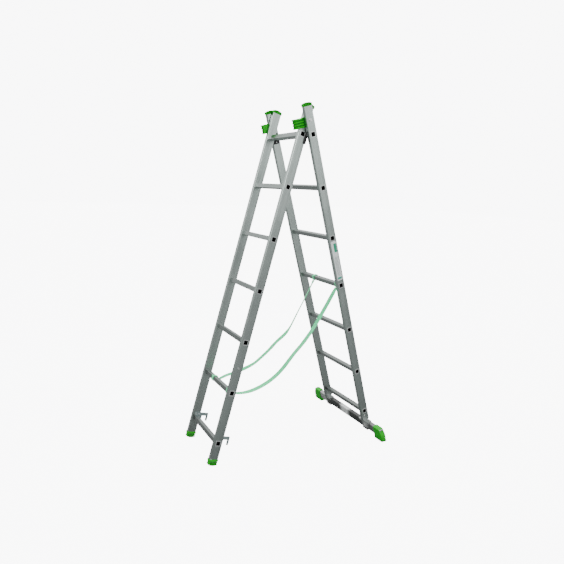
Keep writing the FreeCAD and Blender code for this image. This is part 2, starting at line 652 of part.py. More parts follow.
# A strap runs from one section's loop to the other's, so it slants a little across the ladder.
near_fly = size("fly_width") / 2 - size("rail_thick") - size("strap_inset") - size("strap_width") / 2
near_base = size("base_width") / 2 - size("rail_thick") - size("strap_inset") - size("strap_width") / 2
for side_name, side in SIDES.items():
    loop_base = near_base - (size("strap_slide") if side_name == "right" else 0)
    loop_fly = near_fly - (size("fly_slide") if side_name == "right" else 0)
    route = strap_route(side_name)
    pivot = Vector((route[-1].x + route[0].x) / 2, 0, 0)
    slant = math.atan((loop_base - loop_fly) / (route[-1].x - route[0].x))
    route = strap_route(side_name, STRAP_SPARE * size("strap_width") / 2 * math.sin(abs(slant)))
    route = [Vector(pivot.x + (spot.x - pivot.x) / math.cos(slant), 0, spot.z) for spot in route]
    along = (route[STRAP_MIDDLE + 1] - route[STRAP_MIDDLE]).normalize()
    centre = (route[STRAP_MIDDLE + 1] + route[STRAP_MIDDLE]) / 2
    reach = along * (size("stitch_length") / 2)
    lower = route[: STRAP_MIDDLE + 1] + [centre - reach]
    upper = [centre + reach] + route[STRAP_MIDDLE + 1:]
    section = f"strap {side}"
    turn = Rotation(Vector(0, 0, 1), side * math.degrees(slant))
    across = Vector(0, side * (loop_base + loop_fly) / 2, 0)
    turns[section] = Placement(pivot - turn.multVec(pivot) + across, turn)
    print(side_name, "strap route", [[round(p.x, 1), round(p.y, 1), round(p.z, 1)]
                                     for p in (turns[section].multVec(spot) for spot in route)])
    for half_name, points in (("lower", lower), ("upper", upper)):
        node(f"strap_{side_name}_{half_name}", feature(strap_half(points)), section)
    node(f"strap_joint_{side_name}", feature(stitched_joint(centre, along)), section)
base_loops = [strap_loop(BASE, SIDES["left"], STRAP_RUNG_BASE),
              strap_loop(BASE, SIDES["right"], STRAP_RUNG_BASE, "strap_slide")]
fly_loops = [strap_loop(FLY, SIDES["left"], STRAP_RUNG_FLY),
             strap_loop(FLY, SIDES["right"], STRAP_RUNG_FLY, "fly_slide")]
node("strap_loops_base", group(base_loops), "base")
node("strap_loops_fly", group(fly_loops), "fly")

# ---------------------------------------------------------------- standing the ladder on the floor
for label, obj, section in nodes:
    obj.Placement = turns[section]
doc.recompute()
rigid = Part.makeCompound([obj.Shape for label, obj, section in nodes if "strap" not in section])
extent = rigid.optimalBoundingBox(True, False)
hinge_line = Vector(-(extent.XMin + extent.XMax) / 2, 0, hinge_height)
for label, obj, section in nodes:
    obj.Placement = Placement(turns[section].Base + hinge_line, turns[section].Rotation)
doc.recompute()
print(f"hinge line at X {hinge_line.x:.3f}, Z {hinge_line.z:.3f}; lowest point {extent.ZMin + hinge_height:.3f}")

# ---------------------------------------------------------------- checks and files
for obj in doc.Objects:
    if "Invalid" in obj.State or "Error" in obj.State:
        raise SystemExit(f"{obj.Name} ({obj.Label}) did not build: {obj.State}")
for label, obj, section in nodes:
    if obj.Shape.isNull() or not obj.Shape.isValid() or obj.Shape.Volume <= 0:
        raise SystemExit(f"{label} has no valid shape")
os.makedirs("parts", exist_ok=True)
for label, obj, section in nodes:
    solids = obj.Shape.Solids
    shape = solids[0] if len(solids) == 1 else obj.Shape
    shape.exportStep(os.path.join("parts", f"{label}.step"))
print(len(nodes), "nodes written")
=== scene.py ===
import bpy, bmesh, json, math
from mathutils import Matrix, Vector


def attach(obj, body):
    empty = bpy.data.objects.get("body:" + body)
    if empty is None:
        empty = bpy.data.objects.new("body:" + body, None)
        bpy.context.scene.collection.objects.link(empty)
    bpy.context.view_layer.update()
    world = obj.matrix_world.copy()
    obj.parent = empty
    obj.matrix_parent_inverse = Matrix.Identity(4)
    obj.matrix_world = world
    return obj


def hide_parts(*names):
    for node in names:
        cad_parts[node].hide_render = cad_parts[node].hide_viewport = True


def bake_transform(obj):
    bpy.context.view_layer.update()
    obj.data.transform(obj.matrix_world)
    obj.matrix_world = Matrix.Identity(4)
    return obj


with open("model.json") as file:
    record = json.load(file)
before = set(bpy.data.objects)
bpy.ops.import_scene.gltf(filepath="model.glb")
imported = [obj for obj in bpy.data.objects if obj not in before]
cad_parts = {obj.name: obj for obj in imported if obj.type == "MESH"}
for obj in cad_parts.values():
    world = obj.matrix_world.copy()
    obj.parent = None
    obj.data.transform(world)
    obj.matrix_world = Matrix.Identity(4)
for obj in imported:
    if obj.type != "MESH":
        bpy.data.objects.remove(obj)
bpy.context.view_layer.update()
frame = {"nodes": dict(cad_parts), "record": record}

MM = 0.001

# ---------------------------------------------------------------- where the two sections stand
joints = {joint["name"]: joint for joint in frame["record"]["behaviour"]["joints"]}
HINGE = Vector(joints["section_opening"]["pos_m"])
slide = Vector(joints["fly_extension"]["axis"])
FLY_LEAN = math.atan2(slide.x, slide.z)
BASE_LEAN = -math.radians(joints["section_opening"]["range_deg"][0]) - FLY_LEAN
LEANS = {"base": -BASE_LEAN, "fly": FLY_LEAN}
SIDES = {"left": -1, "right": 1}

# Sizes in millimetres, from the hinge line.
CENTRE = {"base": 23.5, "fly": -23.5}  # a section's middle, in front of the hinge line or behind it
RAIL_MID = {"base": 199.5, "fly": 171.5}  # out to each side, to the middle of a section's rails
RAIL_HALF = 10.5  # half a rail's width across the ladder
RUNG_HALF = 12.5
TOP_RUNG = -2.0
RUNG_PITCH = 280.0
CROWN = 60.0  # radius of the caps' crowns and of the fly feet's soles


def at(section, x, y, z):
    """The standing ladder's point for a place in mm on a section drawn upright about the hinge line."""
    return HINGE + Matrix.Rotation(LEANS[section], 3, "Y") @ (Vector((x, y, z)) * MM)


# ---------------------------------------------------------------- building meshes
def finished(name, mesh, material, body, replaces=(), smooth=30):
    """Puts a mesh in the scene as a piece that rides on a body."""
    mesh.update()
    piece = bpy.data.objects.new(name, mesh)
    bpy.context.scene.collection.objects.link(piece)
    mesh.materials.append(material)
    if smooth:
        mesh.shade_smooth()
        mesh.set_sharp_from_angle(angle=math.radians(smooth))
    if body:
        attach(piece, body)
    if replaces:
        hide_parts(*replaces)
    return piece


def drawn(bm, name):
    """The mesh that has been drawn in bm, which is let go."""
    mesh = bpy.data.meshes.new(name)
    bm.to_mesh(mesh)
    bm.free()
    return mesh


def loft(rings):
    """Joins rings of equally many points into a skin, closed at both ends."""
    bm = bmesh.new()
    rows = [[bm.verts.new(point) for point in ring] for ring in rings]
    count = len(rows[0])
    for low, high in zip(rows, rows[1:]):
        for i in range(count):
            j = (i + 1) % count
            bm.faces.new((low[i], low[j], high[j], high[i]))
    bm.faces.new(list(reversed(rows[0])))
    bm.faces.new(rows[-1])
    bmesh.ops.recalc_face_normals(bm, faces=bm.faces)
    return drawn(bm, "skin")


def joined(meshes):
    """One mesh from several."""
    bm = bmesh.new()
    for mesh in meshes:
        bm.from_mesh(mesh)
        bpy.data.meshes.remove(mesh)
    return drawn(bm, "joined")


def rounded_rectangle(half_x, half_y, radius, steps=6, ribs=None):
    """Points round a rounded rectangle. ribs is (pitch, depth): shallow flutes along its straight sides.

    With a depth of nothing, ribs only gives the outline as many points as a fluted one."""
    arcs = []
    for corner, start in enumerate((-90, 0, 90, 180)):
        sx, sy = (1, 1, -1, -1)[corner], (-1, 1, 1, -1)[corner]
        centre = Vector((sx * (half_x - radius), sy * (half_y - radius)))
        turns = [math.radians(start + 90 * step / steps) for step in range(steps + 1)]
        arcs.append([centre + radius * Vector((math.cos(turn), math.sin(turn))) for turn in turns])
    points = []
    for corner, arc in enumerate(arcs):
        points += arc
        if not ribs:
            continue
        pitch, depth = ribs
        after = arcs[(corner + 1) % 4][0]
        parts = 44 if corner % 2 else 14
        inward = Vector(((-1, 0), (0, -1), (1, 0), (0, 1))[corner])
        for k in range(1, parts):
            point = arc[-1].lerp(after, k / parts)
            travel = point.x if inward.y else point.y
            wave = max(0.0, math.cos(2 * math.pi * travel / pitch)) ** 0.5
            points.append(point + inward * depth * wave)
    return points


def placed_ring(section, outline, x, y, z_of):
    """An outline about (x, y) on a section, at the height that z_of gives for each of its points."""
    return [at(section, x + p.x, y + p.y, z_of(p)) for p in outline]


def half_round(centre, normal, radius, height, steps=5, around=20):
    """A domed head standing on a face."""
    normal = normal.normalized()
    across = normal.orthogonal().normalized()
    other = normal.cross(across)
    rings = []
    for step in range(steps):
        tilt = math.radians(90 * step / steps)
        rings.append([centre + normal * height * math.sin(tilt)
                      + (across * math.cos(turn) + other * math.sin(turn)) * radius * math.cos(tilt)
                      for turn in (2 * math.pi * k / around for k in range(around))])
    return loft(rings)


# ---------------------------------------------------------------- effects that several finishes share
class Graph:
    """A node tree being drawn: each call adds a node and joins its inputs."""

    def __init__(self, tree):
        self.tree = tree

    def add(self, kind, inputs=(), **settings):
        made = self.tree.nodes.new(kind)
        for key, value in settings.items():
            setattr(made, key, value)
        for key, value in dict(inputs).items():
            if isinstance(value, bpy.types.NodeSocket):
                self.tree.links.new(value, made.inputs[key])
            else:
                made.inputs[key].default_value = value
        return made

    def math(self, operation, first, second=0.0, clamp=False):
        made = self.add("ShaderNodeMath", {0: first, 1: second}, operation=operation, use_clamp=clamp)
        return made.outputs[0]

    def blend(self, factor, first, second):
        made = self.add("ShaderNodeMix", {0: factor, 6: first, 7: second}, data_type="RGBA")
        return made.outputs[2]

    def remap(self, value, low, high, new_low, new_high):
        return self.add("ShaderNodeMapRange", {0: value, 1: low, 2: high, 3: new_low, 4: new_high}).outputs[0]

    def ramp(self, value, stops):
        """The colour at a value on a ramp: stops is a list of (value, colour) from 0 to 1."""
        made = self.add("ShaderNodeValToRGB", {0: value})
        elements = made.color_ramp.elements
        elements[0].color, elements[1].color = stops[0][1], stops[-1][1]
        for position, colour in stops[1:-1]:
            elements.new(position).color = colour
        return made.outputs["Color"]


def effect(name, inputs, outputs):
    """An empty shader node group with named sockets: returns its graph, its inputs and its outputs."""
    tree = bpy.data.node_groups.new(name, "ShaderNodeTree")
    for socket, kind, value in inputs:
        made = tree.interface.new_socket(name=socket, in_out="INPUT", socket_type=kind)
        made.default_value = value
    for socket, kind in outputs:
        tree.interface.new_socket(name=socket, in_out="OUTPUT", socket_type=kind)
    graph = Graph(tree)
    return graph, graph.add("NodeGroupInput").outputs, graph.add("NodeGroupOutput").inputs


FLOAT, VECTOR = "NodeSocketFloat", "NodeSocketVector"


def drawn_metal_lines():
    """Fine die lines along a drawn section. Stretch is lines per metre along its X, Y and Z when upright."""
    graph, given, result = effect(
        "drawn_metal_lines",
        [("Lean", FLOAT, 0.0), ("Stretch", VECTOR, (900.0, 900.0, 5.0)), ("Warp", FLOAT, 0.4)],
        [("Lines", FLOAT), ("Streaks", FLOAT)],
    )
    place = graph.add("ShaderNodeTexCoord").outputs["Object"]
    upright = graph.add("ShaderNodeVectorRotate", {"Vector": place, "Angle": given["Lean"]},
                        rotation_type="Y_AXIS")
    long = graph.add("ShaderNodeVectorMath", {0: upright.outputs[0], 1: given["Stretch"]},
                     operation="MULTIPLY")
    lines = graph.add("ShaderNodeTexNoise", {"Vector": long.outputs[0], "Scale": 1.0, "Detail": 4.0,
                                              "Distortion": given["Warp"]})
    wide = graph.add("ShaderNodeVectorMath", {0: long.outputs[0], 1: (0.06, 0.06, 0.12)},
                     operation="MULTIPLY")
    streaks = graph.add("ShaderNodeTexNoise", {"Vector": wide.outputs[0], "Scale": 1.0, "Detail": 2.0})
    graph.tree.links.new(lines.outputs["Fac"], result["Lines"])
    graph.tree.links.new(graph.remap(streaks.outputs["Fac"], 0.3, 0.7, 0.0, 1.0), result["Streaks"])
    return graph.tree


def handling_marks():
    """Cloudy patches where hands and boots have dulled a surface, and a few short scuffs."""
    graph, given, result = effect(
        "handling_marks", [("Scale", FLOAT, 9.0), ("Scuffs", FLOAT, 0.5)],
        [("Patches", FLOAT), ("Scratches", FLOAT)],
    )
    place = graph.add("ShaderNodeTexCoord").outputs["Object"]
    clouds = graph.add("ShaderNodeTexNoise", {"Vector": place, "Scale": given["Scale"], "Detail": 5.0,
                                               "Roughness": 0.6})
    bent = graph.add("ShaderNodeTexNoise", {"Vector": place, "Scale": 30.0, "Detail": 1.0})
    moved = graph.add("ShaderNodeVectorMath", {0: place, 1: bent.outputs["Color"]}, operation="ADD")
    cells = graph.add("ShaderNodeTexVoronoi", {"Vector": moved.outputs[0], "Scale": 26.0},
                      feature="DISTANCE_TO_EDGE")
    thin = graph.remap(cells.outputs["Distance"], 0.0, 0.012, 1.0, 0.0)
    patchy = graph.remap(clouds.outputs["Fac"], 0.52, 0.62, 0.0, 1.0)
    graph.tree.links.new(graph.remap(clouds.outputs["Fac"], 0.35, 0.68, 0.0, 1.0), result["Patches"])
    scratches = graph.math("MULTIPLY", graph.math("MULTIPLY", thin, patchy), given["Scuffs"])
    graph.tree.links.new(scratches, result["Scratches"])
    return graph.tree


def moulded_skin():
    """The fine spark-eroded skin of a moulding, with slow flow marks in it, and painted shade that darkens
    its hollows and crevices.
    """
    graph, given, result = effect(
        "moulded_skin", [("Grain", FLOAT, 1400.0), ("Flow", FLOAT, 45.0)],
        [("Skin", FLOAT), ("Flow Marks", FLOAT), ("Painted Shade", FLOAT)],
    )
    place = graph.add("ShaderNodeTexCoord").outputs["Object"]
    skin = graph.add("ShaderNodeTexNoise", {"Vector": place, "Scale": given["Grain"], "Detail": 2.0})
    flow = graph.add("ShaderNodeTexNoise", {"Vector": place, "Scale": given["Flow"], "Detail": 3.0,
                                             "Distortion": 1.5})
    graph.tree.links.new(skin.outputs["Fac"], result["Skin"])
    graph.tree.links.new(graph.remap(flow.outputs["Fac"], 0.3, 0.7, 0.0, 1.0), result["Flow Marks"])
    # Painted shade: ambient occlusion darkens the moulding's crevices, flutes and grooves.
    open_to = graph.add("ShaderNodeAmbientOcclusion", {"Distance": 0.012}, samples=8).outputs["AO"]
    graph.tree.links.new(graph.remap(open_to, 0.40, 0.92, 1.0, 0.0), result["Painted Shade"])
    return graph.tree


def floor_dirt():
    """Grime that thins out upwards from the floor."""
    graph, given, result = effect("floor_dirt", [("Height", FLOAT, 0.25)], [("Dirt", FLOAT)])
    place = graph.add("ShaderNodeTexCoord").outputs["Object"]
    up = graph.add("ShaderNodeSeparateXYZ", {0: place}).outputs[2]
    near = graph.remap(up, 0.0, given["Height"], 1.0, 0.0)
    specks = graph.add("ShaderNodeTexNoise", {"Vector": place, "Scale": 60.0, "Detail": 6.0,
                                               "Roughness": 0.7})
    dusty = graph.remap(specks.outputs["Fac"], 0.42, 0.7, 0.0, 1.0)
    graph.tree.links.new(graph.math("MULTIPLY", near, dusty, clamp=True), result["Dirt"])
    return graph.tree


def webbing_weave():
    """Herringbone webbing, drawn on a map in metres: along the strap, and across it."""
    graph, given, result = effect(
        "webbing_weave", [("Thread", FLOAT, 0.0016), ("Half Width", FLOAT, 0.011)],
        [("Weave", FLOAT), ("Selvedge", FLOAT), ("Fuzz", FLOAT)],
    )
    where = graph.add("ShaderNodeUVMap").outputs[0]
    parts = graph.add("ShaderNodeSeparateXYZ", {0: where})
    across = graph.math("ABSOLUTE", parts.outputs[1])
    chevron = graph.math("PINGPONG", across, 0.0028)
    along = graph.math("ADD", parts.outputs[0], chevron)
    turns = graph.math("DIVIDE", along, given["Thread"])
    ridge = graph.math("SINE", graph.math("MULTIPLY", turns, 2 * math.pi))
    fuzz = graph.add("ShaderNodeTexNoise", {"Vector": where, "Scale": 900.0, "Detail": 3.0})
    graph.tree.links.new(graph.remap(ridge, -1.0, 1.0, 0.0, 1.0), result["Weave"])
    edge = graph.math("DIVIDE", across, given["Half Width"])
    graph.tree.links.new(graph.remap(edge, 0.84, 0.96, 0.0, 1.0), result["Selvedge"])
    graph.tree.links.new(fuzz.outputs["Fac"], result["Fuzz"])
    return graph.tree


LINES, MARKS, SKIN, DIRT, WEAVE = (
    drawn_metal_lines(), handling_marks(), moulded_skin(), floor_dirt(), webbing_weave()
)


# ---------------------------------------------------------------- finishes
def finish(name, **shader):
    """A new material: returns it, its graph and its Principled shader with the plain values set."""
    made = bpy.data.materials.new(name)
    made.use_nodes = True
    made.node_tree.nodes.clear()
    graph = Graph(made.node_tree)
    surface = graph.add("ShaderNodeBsdfPrincipled")
    for key, value in shader.items():
        surface.inputs[key.replace("_", " ")].default_value = value
    graph.add("ShaderNodeOutputMaterial", {0: surface.outputs[0]})
    return made, graph, surface


def use(graph, group, **inputs):
    made = graph.add("ShaderNodeGroup", node_tree=group)
    for key, value in inputs.items():
        made.inputs[key.replace("_", " ")].default_value = value
    return made.outputs


def set_bump(graph, surface, height, strength, distance):
    bump = graph.add("ShaderNodeBump", {"Height": height, "Strength": strength, "Distance": distance})
    graph.tree.links.new(bump.outputs[0], surface.inputs["Normal"])


def grey(value, green=0.0):
    """A grey, which green from 0 to 1 tints."""
    return (value * (1 - green), value, value * (1 - green * 0.45), 1.0)


def shaded(colour, share):
    """A colour at a share of its brightness."""
    return [c * share for c in colour[:3]] + [1.0]


def grimed(graph, tone, height, share, grime):
    """A tone with grime over it that thins out up to a height in metres."""
    return graph.blend(graph.math("MULTIPLY", use(graph, DIRT, Height=height)["Dirt"], share), tone, grime)


def aluminium(name, light, dark, roughness, lean, stretch,
              painted_shade_span=(0.0, 1.9), low_shade=0.8, dirt=0.25, ends=0.0):
    """Extruded aluminium: die lines along it, dulled patches, and painted shade that darkens it towards the
    foot.

    Past ends, out from the middle of the ladder, a rung's flared end is bright where it was worked."""
    made, graph, surface = finish(name, Metallic=1.0)
    lines = use(graph, LINES, Lean=lean, Stretch=stretch)
    marks = use(graph, MARKS, Scale=7.0, Scuffs=0.6)
    place = graph.add("ShaderNodeTexCoord").outputs["Object"]
    up = graph.add("ShaderNodeSeparateXYZ", {0: place}).outputs[2]
    # Painted shade: the light tone at the top gives way to a shaded dark tone low down, between the two
    # heights given for it.
    height = graph.remap(up, painted_shade_span[0], painted_shade_span[1], 0.0, 1.0)
    tone = graph.blend(height, shaded(dark, low_shade), light)
    low_tone = graph.blend(height, shaded(dark, low_shade * 0.85), dark)
    mixed = graph.blend(graph.remap(lines["Streaks"], 0.0, 1.0, 0.0, 0.7), tone, low_tone)
    scratched = graph.blend(graph.math("MULTIPLY", marks["Scratches"], 0.5), mixed, grey(0.8))
    if ends:
        across = graph.math("ABSOLUTE", graph.add("ShaderNodeSeparateXYZ", {0: place}).outputs[1])
        scratched = graph.blend(graph.math("GREATER_THAN", across, ends), scratched, grey(0.92))
    dirty = grimed(graph, scratched, dirt, 0.5, (0.12, 0.11, 0.09, 1))
    graph.tree.links.new(dirty, surface.inputs["Base Color"])
    dull = graph.math("MULTIPLY", marks["Patches"], 0.10)
    grain = graph.math("MULTIPLY", lines["Lines"], 0.10)
    rough = graph.math("ADD", graph.math("ADD", dull, grain), roughness)
    graph.tree.links.new(rough, surface.inputs["Roughness"])
    set_bump(graph, surface, lines["Lines"], 0.25, 0.0002)
    return made


def steel(name, colour, roughness, metallic=1.0, grain=260.0):
    """Plated or painted steel with a slightly mottled skin."""
    made, graph, surface = finish(name, Metallic=metallic)
    skin = use(graph, SKIN, Grain=grain, Flow=120.0)
    marks = use(graph, MARKS, Scale=40.0, Scuffs=0.8)
    tone = graph.blend(skin["Flow Marks"], shaded(colour, 0.72), colour)
    worn = graph.blend(marks["Scratches"], tone, grey(0.6))
    graph.tree.links.new(worn, surface.inputs["Base Color"])
    rough = graph.math("ADD", graph.math("MULTIPLY", marks["Patches"], 0.14), roughness)
    graph.tree.links.new(rough, surface.inputs["Roughness"])
    set_bump(graph, surface, skin["Skin"], 0.15, 0.0003)
    return made


def moulding(name, light, dark, roughness, dirt=0.12, level=0.5):
    """Injection-moulded plastic with a fine skin, flow marks, painted shade in its hollows, scuffs and a
    little floor grime.
    """
    made, graph, surface = finish(name, Specular_IOR_Level=level)
    skin = use(graph, SKIN, Grain=1100.0, Flow=35.0)
    marks = use(graph, MARKS, Scale=30.0, Scuffs=0.5)
    flowing = graph.blend(skin["Flow Marks"], dark, light)
    # Painted shade: the hollows are darkened to about a tenth of the dark tone.
    tone = graph.blend(graph.math("MULTIPLY", skin["Painted Shade"], 0.92), flowing, shaded(dark, 0.12))
    scuff = [min(1.0, c * 2.2 + 0.08) for c in light[:3]] + [1.0]
    scuffed = graph.blend(graph.math("MULTIPLY", marks["Scratches"], 0.35), tone, scuff)
    dirty = grimed(graph, scuffed, dirt, 0.45, (0.10, 0.09, 0.07, 1))
    graph.tree.links.new(dirty, surface.inputs["Base Color"])
    rough = graph.math("ADD", graph.math("MULTIPLY", marks["Patches"], 0.15), roughness)
    graph.tree.links.new(rough, surface.inputs["Roughness"])
    set_bump(graph, surface, skin["Skin"], 0.2, 0.0002)
    return made


def webbing(name, light, dark, half_width):
    """Woven strap: herringbone ribs with painted shade between them, a denser selvedge and a little fuzz."""
    made, graph, surface = finish(name, Sheen_Weight=0.35, Sheen_Roughness=0.5)
    weave = use(graph, WEAVE, Half_Width=half_width)
    # Painted shade: the weave's ribs take the light tone and the grooves between them the dark one.
    tone = graph.blend(weave["Weave"], dark, light)
    edged = graph.blend(graph.math("MULTIPLY", weave["Selvedge"], 0.5), tone, dark)
    fuzzy = graph.blend(graph.math("MULTIPLY", weave["Fuzz"], 0.25), edged, light)
    graph.tree.links.new(fuzzy, surface.inputs["Base Color"])
    graph.tree.links.new(graph.remap(weave["Fuzz"], 0.0, 1.0, 0.62, 0.92), surface.inputs["Roughness"])
    set_bump(graph, surface, weave["Weave"], 0.6, 0.0005)
    return made


BAR_HALF = 0.36  # half the length in metres over which the painted reflection bands along the stabiliser bar are spread


def burnished(name, light, dark):
    """The bar's polished skin, with painted reflections as broad bright and dark bands along it, and fine
    polishing lines.
    """
    made, graph, surface = finish(name, Metallic=1.0)
    lines = use(graph, LINES, Lean=LEANS["base"], Stretch=(1400.0, 7.0, 1400.0))
    marks = use(graph, MARKS, Scale=12.0, Scuffs=0.7)
    place = graph.add("ShaderNodeTexCoord").outputs["Object"]
    wavy = graph.add("ShaderNodeTexNoise", {"Vector": place, "Scale": 6.0, "Detail": 2.0}).outputs["Fac"]
    across = graph.add("ShaderNodeSeparateXYZ", {0: place}).outputs[1]
    moved = graph.math("ADD", across, graph.math("MULTIPLY", graph.math("SUBTRACT", wavy, 0.5), 0.04))
    # Painted reflections: bright and dark bands along the bar stand in for the lit floor and the rails'
    # shadows mirrored in it.
    stops = [(0.0, 0.55), (0.16, 0.28), (0.22, 0.85), (0.27, 0.12), (0.43, 0.10), (0.475, 0.98), (0.55, 0.95),
             (0.60, 0.10), (0.76, 0.12), (0.82, 0.7), (1.0, 0.3)]
    share = graph.remap(moved, -BAR_HALF, BAR_HALF, 0.0, 1.0)
    bands = graph.ramp(share, [(place, grey(value)) for place, value in stops])
    tone = graph.blend(bands, dark, light)
    # The bright painted-reflection bands are made less metallic, so that the lamps light them.
    graph.tree.links.new(graph.remap(bands, 0.3, 0.95, 1.0, 0.25), surface.inputs["Metallic"])
    dirty = grimed(graph, tone, 0.1, 0.5, (0.1, 0.09, 0.07, 1))
    graph.tree.links.new(dirty, surface.inputs["Base Color"])
    rough = graph.math("ADD", graph.math("MULTIPLY", marks["Patches"], 0.08), 0.12)
    graph.tree.links.new(graph.math("ADD", rough, graph.math("MULTIPLY", marks["Scratches"], 0.2)),
                         surface.inputs["Roughness"])
    set_bump(graph, surface, lines["Lines"], 0.12, 0.0001)
    return made


def printed_film(name):
    """A plain information label: a green band at its top and rows of grey bars in place of words."""
    made, graph, surface = finish(name, Coat_Weight=0.3, Coat_Roughness=0.2)
    where = graph.add("ShaderNodeUVMap").outputs[0]
    parts = graph.add("ShaderNodeSeparateXYZ", {0: where})
    across, along = parts.outputs[0], parts.outputs[1]

    def between(value, low, high):
        above = graph.math("GREATER_THAN", value, low)
        return graph.math("MULTIPLY", above, graph.math("LESS_THAN", value, high))

    rows = graph.math("LESS_THAN", graph.math("FRACT", graph.math("MULTIPLY", along, 34.0)), 0.38)
    ragged = graph.add("ShaderNodeTexNoise", {"Vector": where, "Scale": 21.0, "Detail": 0.0}).outputs["Fac"]
    printed = graph.math("MULTIPLY", rows, graph.math("LESS_THAN", across, graph.math("ADD", ragged, 0.35)))
    block = graph.math("MULTIPLY", between(along, 0.12, 0.62), between(across, 0.14, 0.86))
    tone = graph.blend(graph.math("MULTIPLY", printed, block), (0.80, 0.84, 0.83, 1), (0.22, 0.25, 0.25, 1))
    band = graph.math("MULTIPLY", between(along, 0.72, 0.94), between(across, 0.42, 0.94))
    banded = graph.blend(band, tone, (0.02, 0.30, 0.17, 1))
    foot = graph.math("MULTIPLY", between(along, 0.03, 0.085), between(across, 0.1, 0.9))
    graph.tree.links.new(graph.blend(foot, banded, (0.05, 0.34, 0.25, 1)), surface.inputs["Base Color"])
    skin = use(graph, SKIN, Grain=700.0, Flow=60.0)
    graph.tree.links.new(graph.remap(skin["Flow Marks"], 0.0, 1.0, 0.25, 0.42), surface.inputs["Roughness"])
    set_bump(graph, surface, skin["Skin"], 0.08, 0.0001)
    return made


RAIL_STRETCH, RUNG_STRETCH = (950.0, 950.0, 5.0), (950.0, 5.0, 950.0)
# How far out from the ladder's middle a rung's flared ends start, in metres.
WORKED_FROM = {section: (middle + 10.3) * MM for section, middle in RAIL_MID.items()}
WEBBING_WIDE, WEBBING_THICK = 0.0215, 0.0022
# The rails' painted shade darkens each rail towards its foot.
BASE_RAIL = aluminium("base_rail_aluminium", grey(0.74, 0.10), grey(0.50, 0.10), 0.24, -LEANS["base"],
                      RAIL_STRETCH, painted_shade_span=(0.2, 1.8), low_shade=0.74)
FLY_RAIL = aluminium("fly_rail_aluminium", grey(0.74, 0.09), grey(0.50, 0.09), 0.24, -LEANS["fly"],
                     RAIL_STRETCH, painted_shade_span=(0.1, 1.6), low_shade=0.82)
# The rungs' darker grey than the rails' is painted shade.
BASE_RUNG = aluminium("base_rung_aluminium", grey(0.58, 0.06), grey(0.36, 0.06), 0.17, -LEANS["base"],
                      RUNG_STRETCH, ends=WORKED_FROM["base"])
FLY_RUNG = aluminium("fly_rung_aluminium", grey(0.58, 0.06), grey(0.36, 0.06), 0.17, -LEANS["fly"],
                     RUNG_STRETCH, ends=WORKED_FROM["fly"])
SADDLE = aluminium("saddle_aluminium", grey(0.85), grey(0.7), 0.08, -LEANS["base"], RUNG_STRETCH,
                   low_shade=1.0, dirt=0.05)
BAR = burnished("bar_painted_reflections", grey(0.86), grey(0.05))
GREEN = moulding("green_moulding", (0.001, 0.47, 0.008, 1), (0.001, 0.32, 0.004, 1), 0.34, level=0.22)
BLACK = moulding("black_moulding", (0.022, 0.022, 0.024, 1), (0.012, 0.012, 0.013, 1), 0.48)
BLACK_STEEL = steel("black_painted_steel", (0.025, 0.025, 0.028, 1), 0.35, metallic=0.3)
BRIGHT_STEEL = steel("bright_plated_steel", (0.95, 0.96, 0.95, 1), 0.16)
# Near-white and mostly not metallic: a painted highlight on the domed guide bolt heads.
BOLT_PAINTED_HIGHLIGHT = steel("domed_bolt_painted_highlight", (0.97, 0.98, 0.97, 1), 0.22, metallic=0.25)
HOOK_STEEL = steel("hook_zinc_plate", (0.50, 0.60, 0.60, 1), 0.34, grain=420.0)
STRAP = webbing("green_webbing", (0.13, 0.94, 0.43, 1), (0.04, 0.66, 0.23, 1), 0.011)
THREAD = moulding("stitching_thread", (0.75, 0.86, 0.80, 1), (0.62, 0.76, 0.69, 1), 0.7)
FILM = printed_film("label_film")

FINISHES = [
    (("base_rail",), BASE_RAIL), (("fly_rail",), FLY_RAIL),
    (("base_rung",), BASE_RUNG), (("fly_rung",), FLY_RUNG),
    (("saddle",), SADDLE), (("stabiliser_bar",), BAR),
    (("hinge_shoe", "rail_plug", "clamp_pad"), BLACK),
    (("hinge_plate", "clamp_bolts", "clamp_nuts"), BLACK_STEEL), (("hook_left", "hook_right"), HOOK_STEEL),
    (("guide_bolts",), BOLT_PAINTED_HIGHLIGHT),
    (("guide_washers", "guide_nuts", "hinge_rivets", "hinge_pins",
      "foot_screws", "stop_studs", "hook_rivets"), BRIGHT_STEEL),
]
for node_name, node_object in frame["nodes"].items():
    for starts, material in FINISHES:
        if node_name.startswith(starts):
            for used in node_object.material_slots:
                used.material = material


# ---------------------------------------------------------------- green mouldings
def crown_drop(p):
    """How far a crowned face has fallen at a point of an outline, from its highest line."""
    return CROWN - math.sqrt(CROWN * CROWN - p.x * p.x)


def rail_cap(section, side_name):
    """A crowned cap: a notched band all round, a smooth rim over it and a crown highest in the middle."""
    x, y = CENTRE[section], SIDES[side_name] * RAIL_MID[section]
    low, rise, corner, pitch, notch = 138.0, 19.0, 4.5, 9.6, 3.4
    half_x, half_y = 28.9, 11.4

    def flat(height):
        return lambda p: low + height

    def crowned(height):
        return lambda p: low + rise - crown_drop(p) + height

    rings = []
    for z_of, grow, depth in (
        (flat(0.0), -0.8, 0.0), (flat(0.5), 0.0, 0.0), (flat(1.4), 0.0, 0.0), (flat(1.8), -0.6, notch),
        (crowned(-4.4), -0.6, notch), (crowned(-3.8), 0.0, 0.0), (crowned(-0.9), 0.0, 0.0),
        (crowned(-0.25), -0.6, 0.0), (crowned(0.0), -1.6, 0.0),
    ):
        outline = rounded_rectangle(half_x + grow, half_y + grow, corner, ribs=(pitch, depth))
        rings.append(placed_ring(section, outline, x, y, z_of))
    for inset in (4.0, 7.0, 10.4):
        radius = max(0.6, corner - inset * 0.5)
        outline = rounded_rectangle(half_x - inset, half_y - inset, radius, ribs=(pitch, 0.0))
        rings.append(placed_ring(section, outline, x, y, crowned(0.1)))
    name = f"{section}_cap_{side_name}"
    return finished(f"{name}_ribbed", loft(rings), GREEN, section, [name])


